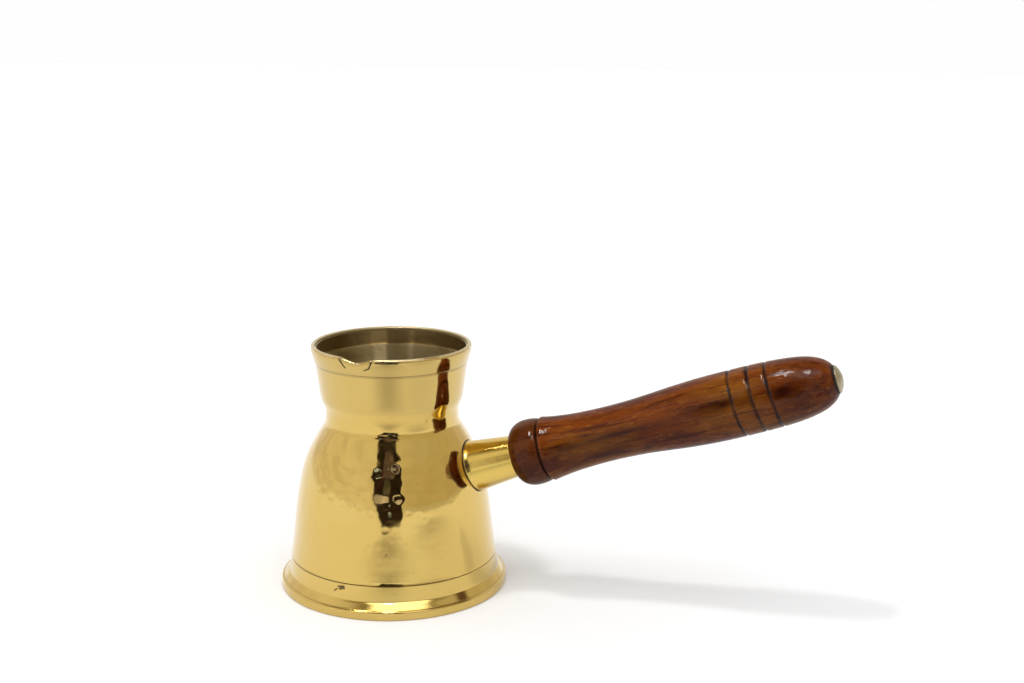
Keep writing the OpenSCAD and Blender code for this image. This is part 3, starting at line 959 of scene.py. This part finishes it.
def table_material():
    """Clear but for a painted soft shadow in front of the pot and a fainter one under the handle."""
    m = Surface("table_painted_shadows")
    own_place, share = m.place, 0.0
    for azimuth, away, half_length, half_width, dark in PAINTED_TABLE_SHADOWS:
        m.place = own_place
        m.place = m.mapping(location=-direction(azimuth, 0) * away)
        m.place = m.mapping(rotation=(0, 0, math.radians(-azimuth)))
        m.place = m.mapping((1 / half_length, 1 / half_width, 1))
        length = m.add("ShaderNodeVectorMath", operation="LENGTH")
        m.give(length.inputs[0], m.place)
        patch = m.math("MULTIPLY", m.span(length.outputs["Value"], 1.0, 0.0), dark)
        share = m.math("ADD", share, patch)
    m.put("Base Color", (0, 0, 0))
    m.put("Specular IOR Level", 0.0)
    both = m.add("ShaderNodeMixShader")
    for i, value in enumerate((share, m.add("ShaderNodeBsdfTransparent").outputs[0], m.bsdf.outputs[0])):
        m.give(both.inputs[i], value)
    m.give(m.out.inputs["Surface"], both.outputs[0])
    return m.mat


TABLE_HALF, TABLE_LIFT = 0.7, 0.0004
cards = [flat_card("shade", [shade_point(at) for at in SHADE], shade_material("shade_dark", SHADE_TONE))]
for n, (corner, opposite, tone) in enumerate(SHADE_PATCHES):
    cards.append(flat_card(f"shade_{n}", [shade_point(at, PATCH_NEARER) for at in rounded(corner, opposite)],
                           shade_material(f"shade_tone_{n}", tone)))
cards.append(flat_card("table_front", square(TABLE_HALF, TABLE_LIFT), table_material()))
for card in cards:
    card.visible_camera = card.visible_diffuse = card.visible_shadow = False
    card.visible_transmission = card.visible_volume_scatter = False

# ---------------------------------------------------------------- the room's light


def cosine(degrees):
    return math.cos(math.radians(degrees))


def sine(degrees):
    return math.sin(math.radians(degrees))


world = bpy.data.worlds.new("studio")
world.use_nodes = True
scene.world = world
room = Nodes(world.node_tree, "Generated")
split = room.add("ShaderNodeSeparateXYZ")
room.give(split.inputs[0], room.place)
height = split.outputs["Z"]


def toward(azimuth, elevation):
    """Cosine of the angle between where a ray looks and that direction."""
    node = room.add("ShaderNodeVectorMath", operation="DOT_PRODUCT")
    room.give(node.inputs[0], room.place)
    room.give(node.inputs[1], direction(azimuth, elevation))
    return node.outputs["Value"]


def spot(azimuth, elevation, edge, full, low=0.0, high=1.0):
    """High in a round spot of the room and low outside it, with its edge and full radius in degrees."""
    return room.span(toward(azimuth, elevation), cosine(edge), cosine(full), low, high)


def above(low_edge, high_edge):
    """0 up to one elevation in degrees and 1 from the other."""
    return room.span(height, sine(low_edge), sine(high_edge))


# The room: an even fill for matt surfaces, walls and ceiling that only the brass shows, two soft lamps
# overhead with a hotter core that only reflections see, and a small lamp that casts the shadow.
SOFT_FILL, BACKDROP = (0.885, 0.885, 0.885), (0.99, 0.99, 0.99)
KEY_LIGHT, GLINT, CORE_GAIN = (2.7, 2.7, 2.7), (60.0, 60.0, 60.0), 15.0
CEILING, WALL_STAIN, WALL_BLOTCH = (0.30, 0.26, 0.17), (0.45, 0.42, 0.36), (0.5, 0.44, 0.32)
to_right = room.span(toward(-5, 0), -0.2, 0.9)
walls = room.mix(to_right, (1.0, 0.955, 0.89), (0.70, 0.635, 0.48))
upper_walls = room.mix(to_right, (1.0, 0.97, 0.9), (0.74, 0.70, 0.60))
walls = room.mix(above(30, 46), walls, upper_walls)
uneven = room.noise(5, detail=4, roughness=0.6)
walls = room.mix(room.span(uneven, 0.35, 0.65, 0, 0.14), walls, WALL_STAIN)
walls = room.mix(above(48, 52), walls, CEILING)
blotches = room.noise(3.5, stretch=(1, 1, 3.5), detail=2, roughness=0.5)
walls = room.mix(room.span(blotches, 0.42, 0.62, 0, 0.24), walls, WALL_BLOTCH)
sweep = room.mix(to_right, (0.98, 0.98, 0.98), (0.70, 0.69, 0.65))
seen_in_metal = room.mix(above(1.6, 2.8), sweep, walls)

rays = room.add("ShaderNodeLightPath")
glossy = rays.outputs["Is Glossy Ray"]
radiance = room.mix(glossy, SOFT_FILL, seen_in_metal)
key = room.math("MAXIMUM", spot(-83, 66, 17, 13), spot(-44, 63, 16, 12))
key = room.math("MULTIPLY", key, above(51, 53.5))
radiance = room.mix(key, radiance, KEY_LIGHT)
core = room.mix(glossy, (1.0, 1.0, 1.0), spot(-83, 69, 5, 3.5, 1.0, CORE_GAIN))
radiance = room.mix(1.0, radiance, core, "MULTIPLY")
radiance = room.mix(spot(-147, 71, 4, 2.6), radiance, GLINT)
radiance = room.mix(rays.outputs["Is Camera Ray"], radiance, BACKDROP)
background = room.add("ShaderNodeBackground")
room.give(background.inputs["Color"], radiance)
room.give(room.add("ShaderNodeOutputWorld").inputs["Surface"], background.outputs[0])

# ---------------------------------------------------------------- camera

# The photo's own view: where its camera stands, in mm, and the directions of its right, up and forward.
CAMERA_AT = Vector((159.67, -442.36, 187.95)) * MM
RIGHT, UP, FORWARD = (Vector(v).normalized() for v in (
    (0.96616, 0.25791, 0.00481), (-0.06022, 0.20739, 0.97640), (-0.25083, 0.94365, -0.21591)))
camera = bpy.data.objects.new("camera", bpy.data.cameras.new("camera"))
camera.data.lens, camera.data.sensor_width, camera.data.clip_start = 50, 36, 0.01
camera.matrix_world = (Matrix.Translation(CAMERA_AT)
                       @ Matrix((RIGHT, UP, -FORWARD)).transposed().to_4x4())
scene.collection.objects.link(camera)
scene.camera = camera
